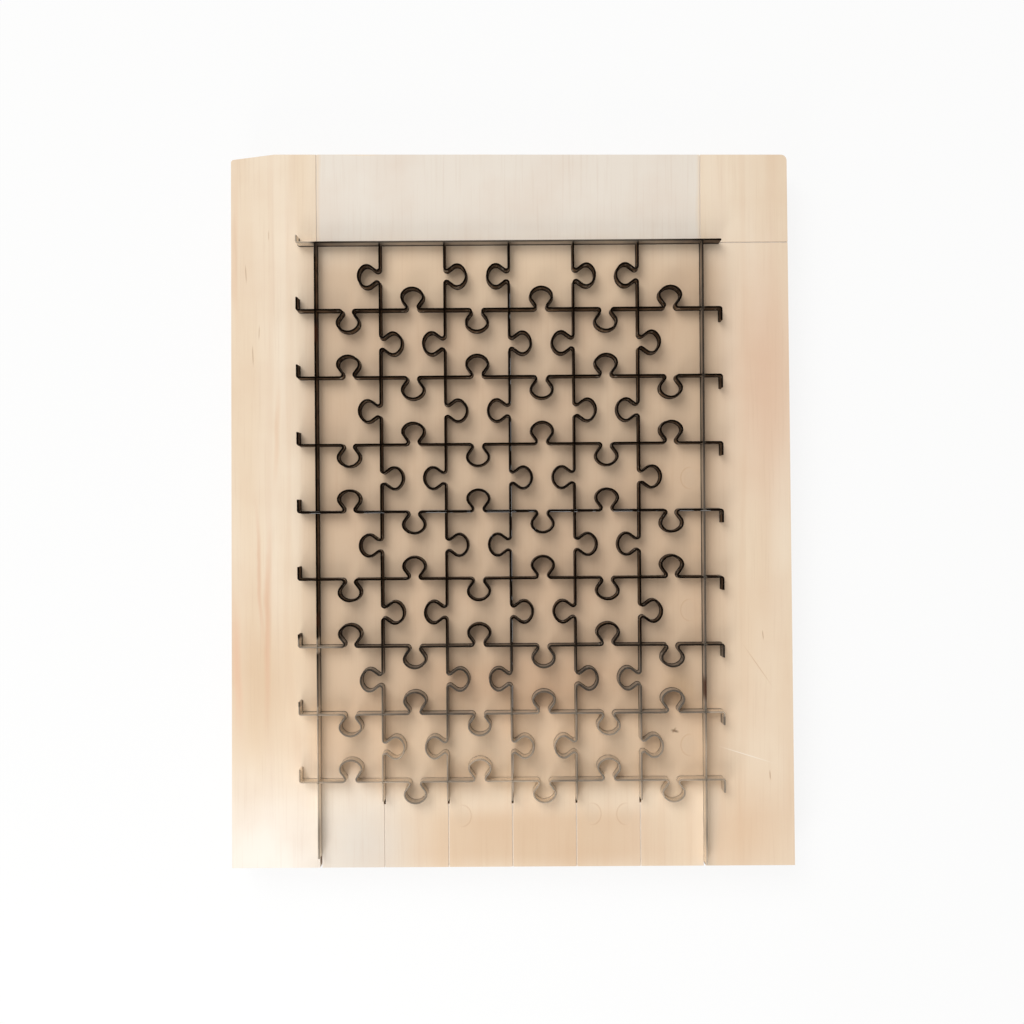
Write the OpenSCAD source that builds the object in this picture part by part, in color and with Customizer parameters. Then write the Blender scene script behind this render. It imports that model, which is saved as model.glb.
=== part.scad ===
// Steel rule die for cutting a jigsaw puzzle. Thin steel rules stand on edge in slots that run
// through a plywood board, and their sharp upper edges cut the sheet that is pressed on them.
// X runs across the board, Y towards the straight top rule and Z up. The origin lies under the
// middle of the board. Sizes are in millimetres.

/* [Puzzle pattern] */
// Puzzle pieces across the die
columns = 6; // [2:1:8]
// Rows of puzzle pieces
rows = 8; // [2:1:10]
// Width of one puzzle piece
piece_w = 25; // [20:0.1:36]
// Height of one puzzle piece
piece_h = 26.1; // [20:0.1:36]

/* [Knobs] */
// Neck of a knob, between the middles of the bent rule
knob_neck_w = 4.2; // [3:0.1:6]
// Head of a knob, between the middles of the bent rule
knob_head_w = 8.4; // [7:0.1:10]
// Bend where a knob leaves its straight rule
base_bend_r = 1; // [0.7:0.05:1.5]
// Bend at each shoulder of a knob's head
shoulder_r = 2.6; // [1.5:0.1:3]

/* [Rules] */
// Thickness of the rule
rule_t = 0.71; // [0.5:0.01:1.05]
// Height of the rule from its foot to its cutting edge
rule_h = 23.8; // [22:0.1:30]
// Height of the bevel on both sides of the cutting edge
bevel_h = 0.7; // [0.4:0.05:1.2]
// Reach of the cross rules past the side rules
rule_overhang = 7.2; // [4:0.1:12]
// Length of the bent tab on each end of a cross rule
tab_l = 5; // [2.5:0.1:8]
// Length of the bent tab on the left end of the top rule
top_tab_l = 2.8; // [2:0.1:8]
// Bend of the end tabs
tab_bend_r = 0.8; // [0.6:0.05:1.5]
// Reach of the column rules past the last cross rule
column_tail = 10; // [4:0.1:20]

/* [Board] */
// Thickness of the plywood
board_t = 18; // [15:0.5:19]
// Left side rule to the board's top left corner
left_margin_top = 33.3; // [20:0.1:60]
// Left side rule to the board's bottom left corner
left_margin_bottom = 34.9; // [20:0.1:60]
// Right side rule to the board's top right corner
right_margin_top = 34; // [20:0.1:60]
// Right side rule to the board's bottom right corner
right_margin_bottom = 35.3; // [20:0.1:60]
// Top rule to the board's top left corner, as it was before it wore
top_margin_left = 35.8; // [20:0.1:60]
// Top rule to the board's top right corner
top_margin_right = 34.2; // [20:0.1:60]
// Last cross rule to the board's bottom left corner
bottom_margin_left = 34.5; // [25:0.1:60]
// Last cross rule to the board's bottom right corner
bottom_margin_right = 34.9; // [25:0.1:60]
// Round of the top right corner
corner_r = 2.3; // [0.5:0.1:8]
// Depth that the top left corner is worn down
worn_drop = 2.2; // [0.5:0.1:6]
// Length of the worn stretch along the top edge
worn_run = 17; // [6:0.5:30]
// Round of the worn corner
worn_r = 1.2; // [0.5:0.1:2]

/* [Fits] */
// Gap on each side of a rule in its slot
slot_gap = 0.05; // [0.02:0.01:0.2]
// Gap on each side of a rule where two rules are lapped
lap_gap = 0.05; // [0.02:0.01:0.2]
// Gap between a rule's square end and the rule it butts on
butt_gap = 0.05; // [0.02:0.01:0.2]
// Distance from the lower ends of the side rules to the board's edge
end_inset = 2.1; // [0.1:0.1:4]

/* [Bridges] */
// Width of the uncut wood that ties the board together across each slot
bridge_w = 5; // [2:0.1:6]
// Depth of the slot where it crosses a bridge
bridge_slot = 1.6; // [0.8:0.1:4]
// Gap between a bridge and the notch of the rule that straddles it
bridge_gap = 0.2; // [0.1:0.05:0.5]

/* [Guide lines] */
// Width of the lines scribed from the rules to the board's edges
guide_w = 0.5; // [0.2:0.05:1]
// Depth of the scribed lines
guide_d = 0.4; // [0.2:0.05:1]

/* [Hidden] */
$fn = 64;

// Colours of the plywood and of the oxidised steel
wood_colour = "#d8bd98";
steel_colour = "#3b2f26";

// A cut runs this far past the face that it opens
cut_past = 1;
// Straight stretches of one rule run this far into each other
run_on = 0.05;
// Thickness, height and foot of the block inside a rule that ties two steps of its path
tie_t = rule_t / 2;
tie_h = rule_h / 2;
tie_z = rule_h / 4;

// The flanks of a knob lean out 3 in 5, so that a bend's cosine and sine are 0.8 and 0.6
flank_cos = 0.8;
flank_sin = 0.6;
flank_lean = asin(flank_sin);
dome_turn = 90 - flank_lean;

// The knob's centre line: its half base, the radius of its dome and the length of its flanks
knob_base = knob_neck_w / 2 + base_bend_r;
shoulder_out = knob_head_w / 2 - shoulder_r;
dome_r = shoulder_r + shoulder_out / flank_cos;
flank_l = (shoulder_out - knob_base + (base_bend_r + shoulder_r) * flank_cos) / flank_sin;

// Straight stretch from a cell's corner to its knob
function run_l(pitch) = pitch / 2 - knob_base;

// Places of the vertical lines, counted from the left side rule, and of the horizontal lines,
// counted from the top rule
function line_x(i) = (i - columns / 2) * piece_w;
function line_y(j) = (rows / 2 - j) * piece_h;

// Neighbouring knobs point to opposite sides: 1 is left of the rule's own direction
function knob_side(i, j) = (i + j) % 2 == 0 ? -1 : 1;

// Profile of a rule with its bevelled edge, and of the slot that takes it
rule_profile = [
    [-rule_t / 2, 0],
    [rule_t / 2, 0],
    [rule_t / 2, rule_h - bevel_h],
    [0, rule_h],
    [-rule_t / 2, rule_h - bevel_h]
];
slot_half = rule_t / 2 + slot_gap;
slot_profile = [
    [-slot_half, -cut_past],
    [slot_half, -cut_past],
    [slot_half, board_t + cut_past],
    [-slot_half, board_t + cut_past]
];

// Heights where lapped rules meet and where the bridges end
lap_z = rule_h / 2;
bridge_z = board_t - bridge_slot;

// Corners of the board, before the pattern is moved to the origin
left_x = line_x(0);
right_x = line_x(columns);
top_y = line_y(0);
last_y = line_y(rows);
bottom_left = [left_x - left_margin_bottom, last_y - bottom_margin_left];
bottom_right = [right_x + right_margin_bottom, last_y - bottom_margin_right];
top_right = [right_x + right_margin_top, top_y + top_margin_right];
top_left = [left_x - left_margin_top, top_y + top_margin_left];

function unit(v) = v / norm(v);
function between(a, b, share) = a + (b - a) * share;

worn_top = top_left + unit(top_right - top_left) * worn_run;
worn_left = top_left + unit(bottom_left - top_left) * worn_drop;

// Points of the arc of radius r that rounds corner p between its neighbours a and b
function rounded(a, p, b, r, steps = 8) = let (
    to_a = unit(a - p),
    to_b = unit(b - p),
    half = acos(to_a * to_b) / 2,
    centre = p + unit(to_a + to_b) * r / sin(half),
    first = p + to_a * r / tan(half) - centre,
    turn = 180 - 2 * half
) [
    for (k = [0 : steps])
        let (angle = turn * k / steps)
            centre + [
                first.x * cos(angle) - first.y * sin(angle),
                first.x * sin(angle) + first.y * cos(angle)
            ]
];

board_outline = concat(
    [bottom_left, bottom_right],
    rounded(bottom_right, top_right, worn_top, corner_r),
    [worn_top],
    rounded(worn_top, worn_left, bottom_left, worn_r)
);

// The pattern moves so that the middle of the board's box lies at the origin
outline_x = [for (p = board_outline) p.x];
outline_y = [for (p = board_outline) p.y];
board_left = min(outline_x);
board_right = max(outline_x);
board_top = max(outline_y);
board_bottom = min(outline_y);
to_origin = [-(board_left + board_right) / 2, -(board_top + board_bottom) / 2, 0];

// Height of the board's lower edge at a place across it
function bottom_edge_y(x) = between(
    bottom_left.y, bottom_right.y,
    (x - bottom_left.x) / (bottom_right.x - bottom_left.x)
);

// Middles of the bridges: on the first stretch of each knobbed side of a cell, in the middle of
// each plain side, and in the middle of the side rules' lower ends
function cross_bridge_x(i) = line_x(i - 1) + run_l(piece_w) / 2;
function column_bridge_y(j) = line_y(j - 1) - run_l(piece_h) / 2;
function side_bridge_y(j) = line_y(j - 1) - piece_h / 2;

// A rule's path is a list of steps, from the origin and along X. A step is [length, 0] for a
// straight stretch, or [radius, turn] for a bend whose turn is in degrees, positive to the left.

// Moves its child to the end of the first count steps
module along(steps, count, i = 0) {
    if (i == count) {
        children();
    } else {
        size = steps[i][0];
        turn = steps[i][1];
        if (turn == 0)
            translate([size, 0, 0])
                along(steps, count, i + 1) children();
        else
            translate([0, sign(turn) * size, 0])
                rotate([0, 0, turn])
                    translate([0, -sign(turn) * size, 0])
                        along(steps, count, i + 1) children();
    }
}

// One step of a path with the profile carried along it
module stretch(size, turn, profile) {
    if (turn == 0)
        rotate([90, 0, 90])
            linear_extrude(size)
                polygon(profile);
    else
        translate([0, sign(turn) * size, 0])
            rotate([0, 0, turn > 0 ? -90 : 90 + turn])
                rotate_extrude(angle = abs(turn))
                    polygon([for (p = profile) [p.x + size, p.y]]);
}

// The profile carried along a whole path. A block inside the rule ties each step to the next, so
// that a rule hangs together at any size. A slot is cut away and needs no ties.
module sweep(steps, profile) {
    for (i = [0 : len(steps) - 1])
        along(steps, i)
            stretch(steps[i][0], steps[i][1], profile);
    if (profile == rule_profile && len(steps) > 1)
        for (i = [1 : len(steps) - 1])
            along(steps, i)
                translate([-run_on, -tie_t / 2, tie_z])
                    cube([2 * run_on, tie_t, tie_h]);
}

// Steps along one side of a cell with a knob in its middle. The start is cut short where the rule
// butts on another, and the end runs on into the next stretch.
function knob_steps(pitch, side, cut_short = 0) = [
    [run_l(pitch) - cut_short, 0],
    [base_bend_r, side * 90],
    [base_bend_r, side * flank_lean],
    [flank_l, 0],
    [shoulder_r, -side * flank_lean],
    [shoulder_r, -side * flank_lean],
    [dome_r, -side * dome_turn],
    [dome_r, -side * dome_turn],
    [shoulder_r, -side * flank_lean],
    [shoulder_r, -side * flank_lean],
    [flank_l, 0],
    [base_bend_r, side * flank_lean],
    [base_bend_r, side * 90],
    [run_l(pitch) + run_on, 0]
];

// The run of the top rule: a tab at its left end, then straight to its square right end
module top_run(profile, end_gap = 0) {
    translate([left_x - rule_overhang, top_y + top_tab_l + end_gap, 0])
        rotate([0, 0, -90])
            sweep([
                [top_tab_l + end_gap - tab_bend_r, 0],
                [tab_bend_r, 90],
                [columns * piece_w + 2 * rule_overhang - tab_bend_r + end_gap, 0]
            ], profile);
}

// The run of a side rule, straight down from a butt below the top rule's middle to height end_y
module side_run(x, profile, butt, end_y) {
    translate([x, top_y - butt, 0])
        rotate([0, 0, -90])
            sweep([[top_y - butt - end_y, 0]], profile);
}

// The run of cross rule j: a tab up at its left end, a knob in each cell, a tab down at its right
module cross_run(j, profile, end_gap = 0) {
    translate([left_x - rule_overhang, line_y(j) + tab_l + end_gap, 0])
        rotate([0, 0, -90])
            sweep([
                [tab_l + end_gap - tab_bend_r, 0],
                [tab_bend_r, 90],
                [rule_overhang - tab_bend_r + run_on, 0]
            ], profile);
    for (i = [1 : columns])
        translate([line_x(i - 1), line_y(j), 0])
            sweep(knob_steps(piece_w, knob_side(i, j)), profile);
    translate([right_x, line_y(j), 0])
        sweep([
            [rule_overhang - tab_bend_r, 0],
            [tab_bend_r, -90],
            [tab_l + end_gap - tab_bend_r, 0]
        ], profile);
}

// The run of column rule i: from a butt below the top rule's middle, a knob in each row and a tail
module column_run(i, profile, butt, end_gap = 0) {
    for (j = [1 : rows])
        translate([line_x(i), line_y(j - 1) - (j == 1 ? butt : 0), 0])
            rotate([0, 0, -90])
                sweep(knob_steps(piece_h, knob_side(i, j), j == 1 ? butt : 0), profile);
    translate([line_x(i), last_y, 0])
        rotate([0, 0, -90])
            sweep([[column_tail + end_gap, 0]], profile);
}

// A block as wide along the rule as w, from below its foot to height z, across a rule along X
module foot_block(x, y, w, z) {
    translate([x - w / 2, y - cut_past, -2 * cut_past])
        cube([w, 2 * cut_past, z + 2 * cut_past]);
}

// The same block across a rule along Y
module foot_block_y(x, y, w, z) {
    translate([x - cut_past, y - w / 2, -2 * cut_past])
        cube([2 * cut_past, w, z + 2 * cut_past]);
}

// The slots in the upper half of a rule along Y that take the cross rules
module upper_laps(x) {
    lap_w = rule_t + 2 * lap_gap;
    for (j = [1 : rows])
        translate([x - cut_past, line_y(j) - lap_w / 2, lap_z])
            cube([2 * cut_past, lap_w, rule_h - lap_z + cut_past]);
}

// Bridges across the top rule, a side rule, cross rule j or column rule i
module top_bridges(w, z) {
    for (i = [1 : columns])
        foot_block((line_x(i - 1) + line_x(i)) / 2, top_y, w, z);
}

module side_bridges(x, w, z) {
    for (j = [1 : rows])
        foot_block_y(x, side_bridge_y(j), w, z);
    foot_block_y(x, (last_y + bottom_edge_y(x)) / 2, w, z);
}

module cross_bridges(j, w, z) {
    for (i = [1 : columns])
        foot_block(cross_bridge_x(i), line_y(j), w, z);
}

module column_bridges(i, w, z) {
    for (j = [1 : rows])
        foot_block_y(line_x(i), column_bridge_y(j), w, z);
}

// Rules that butt on the top rule start this far from its middle
rule_butt = rule_t / 2 + butt_gap;

// Notches of the rules are wider and higher than the bridges that they straddle
notch_w = bridge_w + 2 * bridge_gap;
notch_z = bridge_z + bridge_gap;

module top_frame_rule() {
    color(steel_colour)
        translate(to_origin)
            difference() {
                top_run(rule_profile);
                top_bridges(notch_w, notch_z);
            }
}

module side_frame_rule(x) {
    color(steel_colour)
        translate(to_origin)
            difference() {
                side_run(x, rule_profile, rule_butt, bottom_edge_y(x) + end_inset);
                side_bridges(x, notch_w, notch_z);
                upper_laps(x);
            }
}

module cross_rule(j) {
    color(steel_colour)
        translate(to_origin)
            difference() {
                cross_run(j, rule_profile);
                cross_bridges(j, notch_w, notch_z);
                for (i = [0 : columns])
                    foot_block(line_x(i), line_y(j), rule_t + 2 * lap_gap, lap_z + lap_gap);
            }
}

module column_rule(i) {
    color(steel_colour)
        translate(to_origin)
            difference() {
                column_run(i, rule_profile, rule_butt);
                column_bridges(i, notch_w, notch_z);
                upper_laps(line_x(i));
            }
}

// Slots of the rules, shallow over the bridges and open right through elsewhere
module top_slot() {
    difference() {
        top_run(slot_profile, slot_gap);
        top_bridges(bridge_w, bridge_z);
    }
}

module side_slots() {
    for (x = [left_x, right_x])
        difference() {
            side_run(x, slot_profile, 0, board_bottom - cut_past);
            side_bridges(x, bridge_w, bridge_z);
        }
}

module cross_slots() {
    for (j = [1 : rows])
        difference() {
            cross_run(j, slot_profile, slot_gap);
            cross_bridges(j, bridge_w, bridge_z);
        }
}

module column_slots() {
    for (i = [1 : columns - 1])
        difference() {
            column_run(i, slot_profile, 0, slot_gap);
            column_bridges(i, bridge_w, bridge_z);
        }
}

// Lines scribed in the face of the board: on from the side rules to its top edge, from the top
// rule to its right edge, and from the column rules to its bottom edge
module guide_lines() {
    z = board_t - guide_d;
    depth = guide_d + cut_past;
    for (x = [left_x, right_x])
        translate([x - guide_w / 2, top_y, z])
            cube([guide_w, board_top - top_y + cut_past, depth]);
    guide_x = right_x + rule_overhang;
    translate([guide_x, top_y - guide_w / 2, z])
        cube([board_right - guide_x + cut_past, guide_w, depth]);
    for (i = [1 : columns - 1])
        translate([line_x(i) - guide_w / 2, board_bottom - cut_past, z])
            cube([guide_w, last_y - column_tail - board_bottom + cut_past, depth]);
}

module die_board() {
    color(wood_colour)
        translate(to_origin)
            difference() {
                linear_extrude(board_t)
                    polygon(board_outline);
                top_slot();
                side_slots();
                cross_slots();
                column_slots();
                guide_lines();
            }
}

die_board();
top_frame_rule();
side_frame_rule(left_x);  // left_frame_rule
side_frame_rule(right_x);  // right_frame_rule
for (j = [1 : rows])
    cross_rule(j);
for (i = [1 : columns - 1])
    column_rule(i);
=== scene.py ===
"""Steel rule die for a jigsaw puzzle: bent steel rules that stand in a slotted plywood board.

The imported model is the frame. Each rule is swept again as a smooth strip in the place of its solid,
so that its finish can follow the strip, and charred rims are swept along both sides of its slot.
The board keeps its solid and gets its finish here.
"""

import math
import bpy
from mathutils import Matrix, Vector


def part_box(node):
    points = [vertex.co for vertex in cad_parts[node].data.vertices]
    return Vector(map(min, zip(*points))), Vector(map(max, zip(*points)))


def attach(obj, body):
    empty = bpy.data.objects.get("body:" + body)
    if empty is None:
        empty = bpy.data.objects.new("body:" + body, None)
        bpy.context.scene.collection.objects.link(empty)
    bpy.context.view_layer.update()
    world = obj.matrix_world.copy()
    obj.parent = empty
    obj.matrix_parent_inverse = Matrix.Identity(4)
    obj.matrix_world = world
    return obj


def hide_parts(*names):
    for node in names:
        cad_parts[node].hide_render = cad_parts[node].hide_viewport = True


bl_info = {
    "name": "Steel rule die",
    "version": (1, 0, 0),
    "blender": (4, 5, 0),
    "location": "3D View > Sidebar > Die",
    "description": "Rules, board finish and stage of a jigsaw puzzle die",
    "category": "Add Mesh",
}

import bpy
import numpy as np
from mathutils import Vector

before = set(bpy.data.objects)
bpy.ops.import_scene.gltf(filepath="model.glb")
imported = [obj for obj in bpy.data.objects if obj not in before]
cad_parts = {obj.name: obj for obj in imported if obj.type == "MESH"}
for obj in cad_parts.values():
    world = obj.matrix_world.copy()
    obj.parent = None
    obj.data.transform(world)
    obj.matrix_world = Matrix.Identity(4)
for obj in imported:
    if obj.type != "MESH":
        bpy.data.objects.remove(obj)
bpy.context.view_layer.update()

MM = 0.001

# Places that the frame gives, and the sizes that follow from them. The tail is the reach of the
# column rules past the last cross rule
LEFT_LOW, LEFT_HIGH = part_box("left_frame_rule")
RIGHT_LOW, RIGHT_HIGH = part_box("right_frame_rule")
TOP_LOW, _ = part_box("top_frame_rule")
CROSS_LOW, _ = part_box("cross_rule_1")
COLUMN_LOW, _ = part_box("column_rule_1")
_, BOARD_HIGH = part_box("die_board")
COLUMNS = 1 + sum(name.startswith("column_rule_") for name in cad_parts)
ROWS = sum(name.startswith("cross_rule_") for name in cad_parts)
RULE_T = LEFT_HIGH.x - LEFT_LOW.x
LEFT_X = (LEFT_LOW.x + LEFT_HIGH.x) / 2
RIGHT_X = (RIGHT_LOW.x + RIGHT_HIGH.x) / 2
TOP_Y = TOP_LOW.y + RULE_T / 2
TAIL = 10 * MM
LAST_Y = COLUMN_LOW.y + TAIL
PIECE_W = (RIGHT_X - LEFT_X) / COLUMNS
PIECE_H = (TOP_Y - LAST_Y) / ROWS

# The flanks of a knob lean out 3 in 5
FLANK_COS = 0.8
FLANK_SIN = 0.6
FLANK_LEAN = math.asin(FLANK_SIN)
DOME_TURN = math.pi / 2 - FLANK_LEAN

# How finely a rule is swept
BEND_STEP = math.radians(6)
STRAIGHT_STEP = 3 * MM
SHARP_ANGLE = math.radians(28)

# Half the window in which the turning of a path is measured, the digits of a place on a path in
# metres, and how near two heights count as one
BEND_WINDOW = 0.5 * MM
PLACE_DIGITS = 7
SAME_HEIGHT = 1e-7

# An offset into a bend reaches this share of its radius at most
INSIDE_BEND = 0.95

# A charred rim goes into the board by this share of its height, and its top is flat for this share
# of its width. Its strength goes by the place along the board
LIP_SUNK = 0.4
LIP_TOP = 0.1
CHAR_FADE = ((-108 * MM, -60 * MM), (0.36, 1.0))


def linear(hex_colour):
    """Linear RGBA of an sRGB hex value: a channel is divided by 12.92 where it is small, and
    otherwise has 0.055 added, is divided by 1.055 and raised to the power 2.4."""
    channels = np.array([int(hex_colour[k : k + 2], 16) for k in (1, 3, 5)]) / 255
    curved = ((channels + 0.055) / 1.055) ** 2.4
    return (*np.where(channels <= 0.04045, channels / 12.92, curved).tolist(), 1.0)


def length(name, description, default):
    """A size in metres that a user may change."""
    return bpy.props.FloatProperty(
        name=name, description=description, default=default, unit="LENGTH", precision=5
    )


def colour(name, description, hex_colour):
    """A colour that a user may change."""
    return bpy.props.FloatVectorProperty(
        name=name,
        description=description,
        default=linear(hex_colour),
        size=4,
        min=0,
        max=1,
        subtype="COLOR",
    )


class DiePattern(bpy.types.PropertyGroup):
    """Sizes of the puzzle pattern and its knobs."""

    columns: bpy.props.IntProperty(
        name="Columns", description="Puzzle pieces across the die", default=COLUMNS, min=2
    )
    rows: bpy.props.IntProperty(
        name="Rows", description="Rows of puzzle pieces", default=ROWS, min=2
    )
    piece_w: length("Piece width", "Width of one puzzle piece", PIECE_W)
    piece_h: length("Piece height", "Height of one puzzle piece", PIECE_H)
    neck_w: length("Knob neck", "Neck of a knob between the middles of the rule", 4.2 * MM)
    head_w: length("Knob head", "Head of a knob between the middles of the rule", 8.4 * MM)
    base_r: length("Base bend", "Bend where a knob leaves its straight rule", 1.0 * MM)
    shoulder_r: length("Shoulder bend", "Bend at each shoulder of a knob", 2.6 * MM)


class DieRules(bpy.types.PropertyGroup):
    """Sizes and colours of the steel rules."""

    thick: length("Thickness", "Thickness of the rule", RULE_T)
    high: length("Height", "Height of the rule from foot to edge", LEFT_HIGH.z)
    bevel: length("Bevel", "Height of the bevel at the cutting edge", 0.7 * MM)
    land: length("Worn land", "Width of the flat that wear leaves on the edge", 0.06 * MM)
    overhang: length(
        "Overhang", "Reach past the side rules", LEFT_X - CROSS_LOW.x - RULE_T / 2
    )
    tab: length("Tab", "Length of the bent tabs of the cross rules", 5 * MM)
    top_tab: length("Top tab", "Length of the bent tab of the top rule", 2.8 * MM)
    tab_r: length("Tab bend", "Bend of the tabs", 0.8 * MM)
    tail: length("Tail", "Reach of the column rules past the last cross rule", TAIL)
    butt_gap: length("Butt gap", "Gap where a rule butts on another", 0.05 * MM)
    lap_gap: length("Lap gap", "Gap on each side of a lapped rule", 0.05 * MM)
    end_inset: length("End inset", "Side rules to the lower edge of the board", 2.1 * MM)
    notch_w: length("Notch width", "Width of a notch over a bridge of the board", 5.4 * MM)
    notch_z: length("Notch height", "Height of a notch over a bridge", 16.6 * MM)
    lip_w: length("Burnt lip", "Width of the charred rim along a slot", 0.24 * MM)
    lip_h: length("Lip height", "Height of the charred rim above the face", 0.03 * MM)
    oxide: colour("Oxide", "Dark oxide on the walls of the rules", "#44352a")
    bloom: colour("Bloom", "Browner bloom in the oxide", "#6a543f")
    # Lighter steel, partly painted light; its warm tint is a painted reflection of the wood beside
    # the walls
    bright: colour("Bright steel", "Steel where the oxide is rubbed off", "#efe3d2")
    # Near-black bands on the edge and foot; at the foot they are partly painted contact shade
    dirt_and_shade: colour("Dirt", "Dirt and char on the edge and foot of the rules", "#120c08")
    rust: colour("Rust", "Rust on the side rules", "#4d2c1d")


class DieBoard(bpy.types.PropertyGroup):
    """Colours of the plywood."""

    pale: colour("Pale wood", "Palest tone of the face veneer", "#f4e2ca")
    warm: colour("Warm wood", "Warmer tone of the face veneer", "#ecd4b6")
    figure: colour("Figure", "Lines of the growth rings in the veneer", "#d0a17a")
    pore: colour("Pores", "Fine dark lines along the grain", "#b98f68")
    cross_ply: colour("Cross ply", "Plies that show end grain at the edges", "#b98d60")
    glue: colour("Glue", "Glue lines between the plies", "#7d5a3a")
    char: colour("Char", "Wood that was burnt when the slots were cut", "#130c08")
    # Painted shade inside the knobs that point up, given as a dark colour
    grime: colour("Grime", "Dirt inside the knobs that point up", "#6e4f33")
    # Painted light: a pale colour in the grooves of the guide lines that lifts their shade
    guide_lightening: colour("Scribed lines", "Dirt in the guide lines", "#eadfd2")


class DieStage(bpy.types.PropertyGroup):
    """Camera, light and floor."""

    camera_high: length("Camera height", "Height of the camera above the floor", 446.35 * MM)
    camera_x: length("Camera x", "Place of the camera across the board", 0.4 * MM)
    camera_y: length("Camera y", "Place of the camera along the board", -0.79 * MM)
    camera_turn: bpy.props.FloatProperty(
        name="Camera turn",
        description="Turn of the camera about its line of sight",
        default=math.radians(-0.42),
        subtype="ANGLE",
    )
    lens: bpy.props.FloatProperty(
        name="Lens", description="Focal length of the camera", default=38.5, unit="CAMERA"
    )
    key_power: bpy.props.FloatProperty(
        name="Key light", description="Power of the soft light", default=37, unit="POWER"
    )
    fill_power: bpy.props.FloatProperty(
        name="Fill light", description="Power of the near light", default=1.15, unit="POWER"
    )
    sky: bpy.props.FloatProperty(
        name="Sky", description="Strength of the even light from all sides", default=0.48
    )
    floor: colour("Floor", "Paper that the die lies on", "#f4f4f2")


def knob_steps(pitch, side, sizes, cut_short=0.0):
    """Steps along one side of a cell with a knob in its middle, as rows of length and curvature.

    The knob is bent from arcs: a base bend of a right angle and the flank's lean, a straight flank,
    a shoulder of twice the lean, a dome of twice the rest, and the same back again. The curvature
    is positive to the left, and side is 1 or -1."""
    half_base = sizes.neck_w / 2 + sizes.base_r
    shoulder_out = sizes.head_w / 2 - sizes.shoulder_r
    dome_r = sizes.shoulder_r + shoulder_out / FLANK_COS
    reach = (sizes.base_r + sizes.shoulder_r) * FLANK_COS
    flank = (shoulder_out - half_base + reach) / FLANK_SIN
    run = pitch / 2 - half_base
    base = (sizes.base_r * (math.pi / 2 + FLANK_LEAN), side / sizes.base_r)
    shoulder = (sizes.shoulder_r * 2 * FLANK_LEAN, -side / sizes.shoulder_r)
    dome = (dome_r * 2 * DOME_TURN, -side / dome_r)
    there = [base, (flank, 0.0), shoulder]
    return [(run - cut_short, 0.0), *there, dome, *reversed(there), (run, 0.0)]


def knob_side(i, j):
    """Neighbouring knobs point to opposite sides of their rules."""
    return -1 if (i + j) % 2 == 0 else 1


def carry(start, heading, steps, marks):
    """Points, directions, distances and bend of a path that is sampled at even steps and at marks.

    Inside a step the heading grows as curvature times distance, and the point is the integral of
    the heading's cosine and sine: a straight line, or a sine and cosine over the curvature. The
    bend is the turning within a short window of the path, per metre."""
    size, curve = np.array(steps).T
    turn = size * curve
    begin = np.concatenate(([0.0], np.cumsum(size)))
    first = heading + np.concatenate(([0.0], np.cumsum(turn)))[:-1]
    bent = curve != 0
    safe = np.where(bent, curve, 1.0)

    def moved(k, u):
        """Move along step k after distance u."""
        a, b = first[k], first[k] + u * curve[k]
        x = np.where(bent[k], (np.sin(b) - np.sin(a)) / safe[k], u * np.cos(a))
        y = np.where(bent[k], (np.cos(a) - np.cos(b)) / safe[k], u * np.sin(a))
        return np.stack([x, y], axis=-1), b

    whole = moved(np.arange(len(size)), size)[0]
    corner = np.array(start) + np.vstack([[0.0, 0.0], np.cumsum(whole, axis=0)[:-1]])
    count = np.ceil(np.maximum(size / STRAIGHT_STEP, np.abs(turn) / BEND_STEP)).astype(int)
    even = [np.linspace(a, a + run, n + 1) for a, run, n in zip(begin, size, count)]
    s = np.unique(np.round(np.concatenate([*even, np.array(marks)]), PLACE_DIGITS))
    s = s[(s >= 0) & (s <= begin[-1])]
    k = np.clip(np.searchsorted(begin, s, side="right") - 1, 0, len(size) - 1)
    step, angle = moved(k, s - begin[k])
    turned = np.concatenate(([0.0], np.cumsum(np.abs(turn))))
    ahead = np.interp(s + BEND_WINDOW, begin, turned)
    behind = np.interp(s - BEND_WINDOW, begin, turned)
    return corner[k] + step, angle, s, (ahead - behind) / (2 * BEND_WINDOW)


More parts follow.
